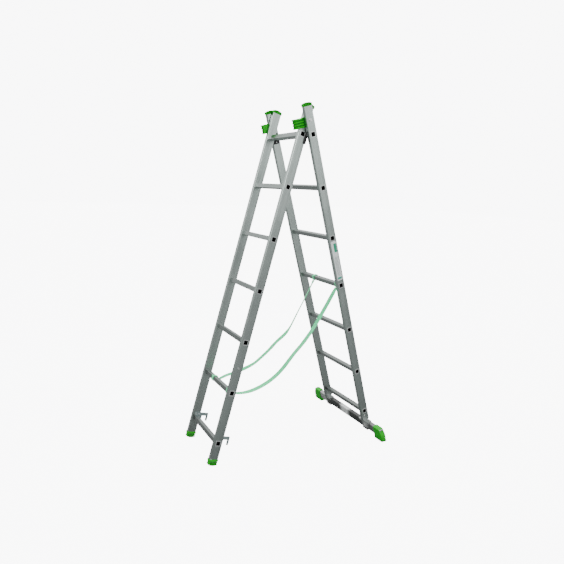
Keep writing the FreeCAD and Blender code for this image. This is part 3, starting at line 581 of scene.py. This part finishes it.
def fly_foot(side_name):
    """A fluted foot with a flange round the rail end and a crowned sole."""
    x, y = CENTRE["fly"], SIDES[side_name] * RAIL_MID["fly"]
    rail_end, sole_depth, corner, pitch, flute = -1780.0, 28.0, 5.0, 7.6, 3.4
    half_x, half_y = 27.8, 13.3

    def flat(height):
        return lambda p: rail_end + height

    def soled(height):
        return lambda p: rail_end - sole_depth + crown_drop(p) + height

    rings = []
    for inset in (9.0, 4.0, 1.5):
        outline = rounded_rectangle(half_x - inset, half_y - inset * 0.8, 3.0, ribs=(pitch, 0.0))
        rings.append(placed_ring("fly", outline, x, y, soled(0.15)))
    for z_of, grow, depth in (
        (soled(1.2), 0.0, 0.0), (soled(4.225), -1.4, flute), (flat(-3.6), -1.4, flute),
        (flat(-2.8), -0.4, 0.0), (flat(-2.0), 0.2, 0.0), (flat(3.0), 0.2, 0.0), (flat(6.8), -0.3, 0.0),
        (flat(7.8), -1.4, 0.0),
    ):
        outline = rounded_rectangle(half_x + grow, half_y + grow, corner, ribs=(pitch, depth))
        rings.append(placed_ring("fly", outline, x, y, z_of))
    name = f"fly_foot_{side_name}"
    return finished(f"{name}_ribbed", loft(rings), GREEN, "fly", [name])


def guide_block(side_name):
    """A channel with rounded corners and three grooves round its outside."""
    side = SIDES[side_name]
    low, corner_x, corner_y, corner = 39.0, -49.5, 180.4, 10.0
    inner_x, inner_y, inner = -46.0, 179.7, 3.5
    front, lip = -56.0, (184.0, -4.0)  # the face that is grooved, and where its side's grooves start
    outer = [(41.0, 189.0), (-3.0, 189.0), (-5.0, corner_y + corner)]
    for k in range(7):
        turn = math.radians(90 * k / 6)
        outer.append((corner_x - corner * math.sin(turn), corner_y + corner * math.cos(turn)))
    outer += [(-59.5, 163.5), (-58.6, 161.6), (-56.5, 161.0), (-51.0, 161.0), (-49.8, 161.8), (-49.5, 163.0)]
    for k in range(5):
        turn = math.radians(90 * k / 4)
        outer.append((inner_x - inner * math.cos(turn), inner_y + inner * math.sin(turn)))
    outer += [(41.0, 183.2)]
    steps = [(0.0, 1.6), (0.6, 0.6), (2.0, 0.0)]
    for groove in (12.0, 25.0, 38.0):
        steps += [(groove - 3.2, 0.0), (groove - 2.4, 3.2), (groove + 2.4, 3.2), (groove + 3.2, 0.0)]
    steps += [(48.0, 0.0), (49.4, 0.6), (50.0, 1.6)]
    rings = []
    for height, sink in steps:
        ring = []
        for x, y in outer:
            dx = sink if x < front else 0.0
            dy = -sink if (y > lip[0] and x < lip[1]) else 0.0
            if x < corner_x - 0.5 and y > corner_y:
                reach = math.hypot(x - corner_x, y - corner_y)
                share = (reach - sink) / reach
                dx, dy = (x - corner_x) * (share - 1), (y - corner_y) * (share - 1)
            ring.append(at("base", x + dx, side * (y + dy), low + height))
        rings.append(ring)
    name = f"guide_block_{side_name}"
    return finished(f"{name}_grooved", loft(rings), GREEN, "base", [name])


def bar_foot(side_name):
    """A wedge-shaped foot: flat over the bar, sloping to its outer end, with a level sole cut with treads."""
    side = SIDES[side_name]
    middle, top, floor_at_middle = CENTRE["base"], -1747.0, -1834.0

    def floor(x):
        return floor_at_middle - (x - middle) * math.tan(BASE_LEAN)

    # Each point is (out to the side, height, whether the height is from the floor).
    outline = [(293.4, top - 0.8, 0), (294.2, top, 0), (341.0, top, 0), (346.0, top - 1.6, 0),
               (350.0, top - 5.0, 0), (362.4, top - 34.0, 0), (364.4, top - 40.0, 0), (364.8, top - 48.0, 0),
               (364.4, 6.0, 1), (362.0, 2.2, 1), (358.5, 0.3, 1)]
    for k in range(9):
        inner = 352.0 - k * 6.4
        outline += [(inner + 2.4, 0.3, 1), (inner + 1.6, 2.6, 1),
                    (inner - 1.2, 2.6, 1), (inner - 2.0, 0.3, 1)]
    outline += [(295.6, 0.3, 1), (294.0, 1.6, 1), (293.4, 5.0, 1)]
    rings = []
    for offset, shrink in ((-16.4, 3.0), (-16.2, 1.2), (-15.2, 0.3), (-13.6, 0.0), (13.6, 0.0), (15.2, 0.3),
                           (16.2, 1.2), (16.4, 3.0)):
        x = middle + offset
        ring = []
        for y, z, from_floor in outline:
            height = floor(x) + z + 0.25 if from_floor else z
            pull_y = shrink if y < 300 else (-shrink if y > 340 else 0.0)
            pull_z = 0.0
            if from_floor and z < 1:
                pull_z = shrink * 0.7
            elif not from_floor and z > top - 8:
                pull_z = -shrink
            ring.append(at("base", x, side * (y + pull_y), height + pull_z))
        rings.append(ring)
    name = f"bar_foot_{side_name}"
    return finished(f"{name}_wedge", loft(rings), GREEN, "base", [name], smooth=40)


for side_name in SIDES:
    for section in CENTRE:
        rail_cap(section, side_name)
    fly_foot(side_name)
    guide_block(side_name)
    bar_foot(side_name)


# ---------------------------------------------------------------- straps
def hanging_line(points):
    """The smooth line of a strap: its route's points shape one spline, read back as points close together."""
    curve = bpy.data.curves.new("route", "CURVE")
    curve.dimensions = "3D"
    curve.resolution_u = 12
    spline = curve.splines.new("NURBS")
    spline.points.add(len(points) - 1)
    for control, place in zip(spline.points, points):
        control.co = (*place, 1.0)
    spline.order_u = 3
    spline.use_endpoint_u = True
    holder = bpy.data.objects.new("route", curve)
    mesh = bpy.data.meshes.new_from_object(holder)
    line = [vertex.co.copy() for vertex in mesh.vertices]
    bpy.data.objects.remove(holder)
    bpy.data.curves.remove(curve)
    bpy.data.meshes.remove(mesh)
    return line


# Half the section of webbing, with slightly thicker selvedges: each point is (across it from -1 to 1, off its
# middle in thicknesses).
HALF_BAND = [(-1.0, 0.0), (-0.985, 0.42), (-0.93, 0.56), (-0.88, 0.5), (-0.4, 0.5), (0.0, 0.5), (0.4, 0.5),
             (0.88, 0.5), (0.93, 0.56), (0.985, 0.42)]
BAND = HALF_BAND + [(-across, -off) for across, off in HALF_BAND]


def twist_at(share, twists):
    """How far the webbing is turned about itself: twists is a list of (share of its length, degrees)."""
    for (low, before), (high, after) in zip(twists, twists[1:]):
        if share <= high:
            part = max(0.0, (share - low) / (high - low))
            return math.radians(before + (after - before) * part * part * (3 - 2 * part))
    return math.radians(twists[-1][1])


def band_mesh(line, across, width, thick, twists=((0, 0), (1, 0)), closed=False):
    """Webbing along a line, as wide as width in the direction across, turned about itself by twists."""
    count = len(line)
    lengths = [0.0]
    for before, here in zip(line, line[1:]):
        lengths.append(lengths[-1] + (here - before).length)
    bm = bmesh.new()
    map_layer = bm.loops.layers.uv.new("Map")
    rows = []
    for i, place in enumerate(line):
        ahead = line[(i + 1) % count] if closed else line[min(i + 1, count - 1)]
        behind = line[i - 1] if closed else line[max(i - 1, 0)]
        run = (ahead - behind).normalized()
        wide = (across - run * across.dot(run)).normalized()
        wide = Matrix.Rotation(twist_at(lengths[i] / lengths[-1], twists), 3, run) @ wide
        off = run.cross(wide)
        rows.append([bm.verts.new(place + wide * a * width / 2 + off * b * thick) for a, b in BAND])
    size = len(BAND)
    for i in range(count if closed else count - 1):
        j = (i + 1) % count
        start = lengths[i]
        stop = lengths[j] if j else start + (line[0] - line[i]).length
        for k in range(size):
            m = (k + 1) % size
            face = bm.faces.new((rows[i][k], rows[i][m], rows[j][m], rows[j][k]))
            for loop, (u, a) in zip(face.loops, ((start, k), (start, m), (stop, m), (stop, k))):
                loop[map_layer].uv = (u, BAND[a][0] * width / 2)
    if not closed:
        for row in (list(reversed(rows[0])), rows[-1]):
            bm.faces.new(row)
    bmesh.ops.recalc_face_normals(bm, faces=bm.faces)
    return drawn(bm, "band")


def stitch(start, stop, radius=0.00045):
    """One stitch: a short raised thread lying on the webbing."""
    run = stop - start
    side = run.orthogonal().normalized()
    other = run.normalized().cross(side)
    rings = []
    for share, grow in ((0.0, 0.35), (0.2, 0.9), (0.5, 1.0), (0.8, 0.9), (1.0, 0.35)):
        rings.append([start + run * share + (side * math.cos(t) + other * math.sin(t)) * radius * grow
                      for t in (math.tau * k / 6 for k in range(6))])
    return loft(rings)


def stitch_row(corners, pitch=0.0032):
    """Stitches along a path of straight lines."""
    made = []
    for start, stop in zip(corners, corners[1:]):
        parts = max(1, round((stop - start).length / pitch))
        for k in range(parts):
            made.append(stitch(start.lerp(stop, (k + 0.15) / parts), start.lerp(stop, (k + 0.85) / parts)))
    return made


# Each strap's route from the fly's loop to the base's, in millimetres from the middle of the hinge line.
STRAP_POINTS = {
    "left": [(-370.2, -148.0, -1360.5), (-331.7, -149.7, -1370.9), (-264.7, -152.7, -1370.0),
             (-194.8, -155.9, -1350.0), (-127.9, -158.9, -1316.0), (-67.9, -161.6, -1266.0),
             (-8.0, -164.3, -1192.0), (57.9, -167.2, -1125.0), (115.9, -169.8, -1050.0),
             (167.8, -172.2, -965.0), (213.8, -174.2, -888.1), (253.1, -176.0, -818.2)],
    "right": [(-371.0, 58.0, -1364.5), (-318.1, 58.2, -1343.4), (-261.9, 58.3, -1337.2),
              (-201.1, 58.5, -1321.6), (-136.8, 58.8, -1299.9), (-100.2, 58.9, -1273.9),
              (-44.3, 59.0, -1231.9), (11.2, 59.2, -1180.5), (88.1, 59.5, -1126.3),
              (142.4, 59.6, -1024.2), (185.0, 59.8, -947.6), (227.1, 59.9, -872.5), (253.4, 60.0, -818.1)],
}
STRAP_TWISTS = {
    "left": {"lower": [(0, 0), (0.10, 14), (0.32, 34), (0.55, 40), (0.80, 44), (1, 26)],
             "upper": [(0, 26), (0.12, 46), (0.34, 22), (0.52, 50), (0.86, 56), (1, 6)]},
    "right": {"lower": [(0, 0), (0.15, 16), (0.45, 34), (0.70, 14), (1, 20)],
              "upper": [(0, 20), (0.16, 30), (0.34, -14), (0.60, -22), (0.93, -20), (1, 0)]},
}
# How far in along its rung each loop is, from the rail's inner face.
LOOP_IN = {("base", "left"): 13.0, ("base", "right"): 129.0, ("fly", "left"): 13.0, ("fly", "right"): 103.0}
SEWN_AFTER = 6  # a strap's halves are sewn together half way along the run from this point
SEWN_HALF = 17.0  # half the sewn stretch's length


def strap_parts(side_name):
    """A strap in two halves and the stitched joint between them."""
    points = [HINGE + Vector(place) * MM for place in STRAP_POINTS[side_name]]
    middle = (points[SEWN_AFTER] + points[SEWN_AFTER + 1]) / 2
    along = (points[SEWN_AFTER + 1] - points[SEWN_AFTER]).normalized()
    slant = points[-1] - points[0]
    across = Vector((-slant.y, slant.x, 0.0)).normalized()
    joint = sewn_joint(side_name, middle, along, across)
    halves = {
        "upper": [middle + along * SEWN_HALF * MM] + points[SEWN_AFTER + 1:],
        "lower": points[:SEWN_AFTER + 1] + [middle - along * SEWN_HALF * MM],
    }
    for half, route in halves.items():
        line = hanging_line(route)
        node = f"strap_{side_name}_{half}"
        mesh = band_mesh(line, across, WEBBING_WIDE, WEBBING_THICK, STRAP_TWISTS[side_name][half])
        strap = finished(f"{node}_webbing", mesh, STRAP, None, [node])
        if half == "upper":
            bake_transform(strap)
        else:
            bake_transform(strap)


def sewn_joint(side_name, middle, along, across):
    """The doubled stretch where a strap's halves overlap, sewn with a boxed cross."""
    node = f"strap_joint_{side_name}"
    wide = (across - along * across.dot(along)).normalized()
    line = [middle + along * MM * (SEWN_HALF - 0.2) * (k / 6 - 1) for k in range(13)]
    turn = STRAP_TWISTS[side_name]["upper"][0][1]
    wide = Matrix.Rotation(math.radians(turn), 3, along) @ wide
    thick = 0.0040
    mesh = band_mesh(line, wide, 0.0218, thick)
    joint = finished(f"{node}_webbing", mesh, STRAP, "hinge_shoes", [node])
    off = along.cross(wide)
    threads = []
    for face in (1, -1):
        lift = off * face * (thick / 2 + 0.0001)
        corners = [middle + lift + along * a * MM + wide * b * MM
                   for a, b in ((-13, -8), (13, -8), (13, 8), (-13, 8), (-13, -8), (13, 8))]
        threads += stitch_row(corners)
        threads += stitch_row([middle + lift + along * -13 * MM + wide * 8 * MM,
                               middle + lift + along * 13 * MM + wide * -8 * MM])
    finished(f"{node}_stitches", joined(threads), THREAD, "hinge_shoes")
    return joint


def strap_loops(section, number):
    """Each strap's loop round the rung that is number below the top one, with two rows of stitches."""
    node = f"strap_loops_{section}"
    bands, threads = [], []
    rung = TOP_RUNG - number * RUNG_PITCH
    inner_face = RAIL_MID[section] - RAIL_HALF
    clearance, half_thick = 0.4, 1.15
    reach = RUNG_HALF + clearance + half_thick
    towards = 1 if section == "fly" else -1
    face = CENTRE[section] + towards * (reach + half_thick)
    for side_name, side in SIDES.items():
        y = side * (inner_face - LOOP_IN[section, side_name])
        outline = rounded_rectangle(reach, reach, 3.4)
        line = [at(section, CENTRE[section] + p.x, y, rung + p.y) for p in outline]
        full = []
        for here, after in zip(line, line[1:] + line[:1]):
            parts = max(1, round((after - here).length / 0.004))
            full += [here.lerp(after, k / parts) for k in range(parts)]
        bands.append(band_mesh(full, Vector((0.0, 1.0, 0.0)), WEBBING_WIDE, 0.0021, closed=True))
        for row in (-7.0, 7.0):
            threads += stitch_row([at(section, face, y + row, rung + end) for end in (-10.0, 10.0)])
    finished(f"{node}_webbing", joined(bands), STRAP, section, [node])
    finished(f"{node}_stitches", joined(threads), THREAD, section)


for side_name in SIDES:
    strap_parts(side_name)
strap_loops("base", 3)
strap_loops("fly", 5)


# ---------------------------------------------------------------- label and small fixings
RAIL_FACE = RAIL_MID["base"] + RAIL_HALF  # out to a base rail's outer face


def label_panel():
    """A thin printed film with rounded corners."""
    wide, tall, top = 34.0, 230.0, -580.0
    outline = rounded_rectangle(wide / 2 - 0.2, tall / 2 - 0.4, 4.0)
    middle = top - tall / 2
    bm = bmesh.new()
    map_layer = bm.loops.layers.uv.new("Map")
    rows = []
    for lift in (0.02, 0.26):
        places = [at("base", CENTRE["base"] + p.x, -(RAIL_FACE + lift), middle + p.y) for p in outline]
        rows.append([bm.verts.new(place) for place in places])
    count = len(outline)
    for i in range(count):
        j = (i + 1) % count
        bm.faces.new((rows[0][i], rows[0][j], rows[1][j], rows[1][i]))
    for row in rows:
        face = bm.faces.new(row)
        for loop, p in zip(face.loops, outline):
            loop[map_layer].uv = (0.5 + p.x / wide, 0.5 + p.y / tall)
    bmesh.ops.recalc_face_normals(bm, faces=bm.faces)
    return finished("label_film_panel", drawn(bm, "film"), FILM, "base", ["label"])


def plug_screws():
    """A small domed screw through each base rail into its plug."""
    heads = [half_round(at("base", 18.0, side * RAIL_FACE, -1713.0), Vector((0, side, 0)), 0.0034, 0.0016)
             for side in SIDES.values()]
    return finished("plug_screws", joined(heads), BRIGHT_STEEL, "base")


label_panel()
plug_screws()


# ---------------------------------------------------------------- floor, light and camera
BACKDROP = 9.0  # how strongly the backdrop shines towards the camera, and only there
PAPER = (0.985, 0.985, 1.0, 1)


def studio_floor():
    """White paper: it shows as plain white, and gives back only a little light to the ladder."""
    mesh = bpy.data.meshes.new("floor")
    mesh.from_pydata([(-30, -30, 0), (30, -30, 0), (30, 30, 0), (-30, 30, 0)], [], [(0, 1, 2, 3)])
    made, graph, surface = finish("floor_paper", Roughness=0.9, Emission_Color=PAPER)
    place = graph.add("ShaderNodeTexCoord").outputs["Object"]
    cloud = graph.add("ShaderNodeTexNoise", {"Vector": place, "Scale": 0.8, "Detail": 2.0}).outputs["Fac"]
    pale = graph.blend(cloud, (0.17, 0.18, 0.18, 1), (0.20, 0.21, 0.21, 1))
    graph.tree.links.new(pale, surface.inputs["Base Color"])
    seen = graph.add("ShaderNodeLightPath").outputs["Is Camera Ray"]
    graph.tree.links.new(graph.math("MULTIPLY", seen, BACKDROP), surface.inputs["Emission Strength"])
    floor = bpy.data.objects.new("floor", mesh)
    mesh.materials.append(made)
    bpy.context.scene.collection.objects.link(floor)


def softbox(name, place, target, width, height, power):
    """A rectangular light that faces its target."""
    light = bpy.data.lights.new(name, "AREA")
    light.shape = "RECTANGLE"
    light.size, light.size_y, light.energy = width, height, power
    holder = bpy.data.objects.new(name, light)
    holder.location = place
    holder.rotation_euler = (Vector(target) - Vector(place)).to_track_quat("-Z", "Y").to_euler()
    bpy.context.scene.collection.objects.link(holder)


def studio_sky():
    """Even pale light, whiter overhead; the backdrop itself shows plain white."""
    world = bpy.data.worlds.new("studio")
    world.use_nodes = True
    world.node_tree.nodes.clear()
    graph = Graph(world.node_tree)
    direction = graph.add("ShaderNodeTexCoord").outputs["Generated"]
    up = graph.add("ShaderNodeSeparateXYZ", {0: direction}).outputs[2]
    light = graph.ramp(graph.remap(up, -1.0, 1.0, 0.0, 1.0), [
        (0.0, (0.08, 0.09, 0.09, 1)), (0.47, (0.20, 0.22, 0.22, 1)), (0.53, (0.62, 0.66, 0.65, 1)),
        (0.63, (0.86, 0.90, 0.89, 1)), (1.0, (1.0, 1.0, 1.0, 1)),
    ])
    seen = graph.add("ShaderNodeLightPath").outputs["Is Camera Ray"]
    tone = graph.blend(seen, light, PAPER)
    strength = graph.remap(seen, 0.0, 1.0, 1.25, BACKDROP)
    sky = graph.add("ShaderNodeBackground", {"Color": tone, "Strength": strength})
    graph.add("ShaderNodeOutputWorld", {0: sky.outputs[0]})
    bpy.context.scene.world = world


studio_floor()
studio_sky()
softbox("key", (-3.2, -3.6, 4.6), (0, 0, 0.9), 3.0, 3.0, 160)
softbox("top", (0.6, 0.4, 5.2), (0, 0, 0.6), 4.0, 4.0, 150)
softbox("fill", (4.2, -2.6, 2.6), (0, 0, 0.9), 2.5, 3.0, 60)

camera_data = bpy.data.cameras.new("camera")
camera_data.lens = 32.29
camera_data.sensor_width = 36.0
camera = bpy.data.objects.new("camera", camera_data)
camera.location = HINGE + Vector((-1427.9, -2479.0, -261.1)) * MM
camera.rotation_euler = [math.radians(a) for a in (79.2255, -2.4217, -29.4289)]
bpy.context.scene.collection.objects.link(camera)
bpy.context.scene.camera = camera

bpy.context.view_layer.update()
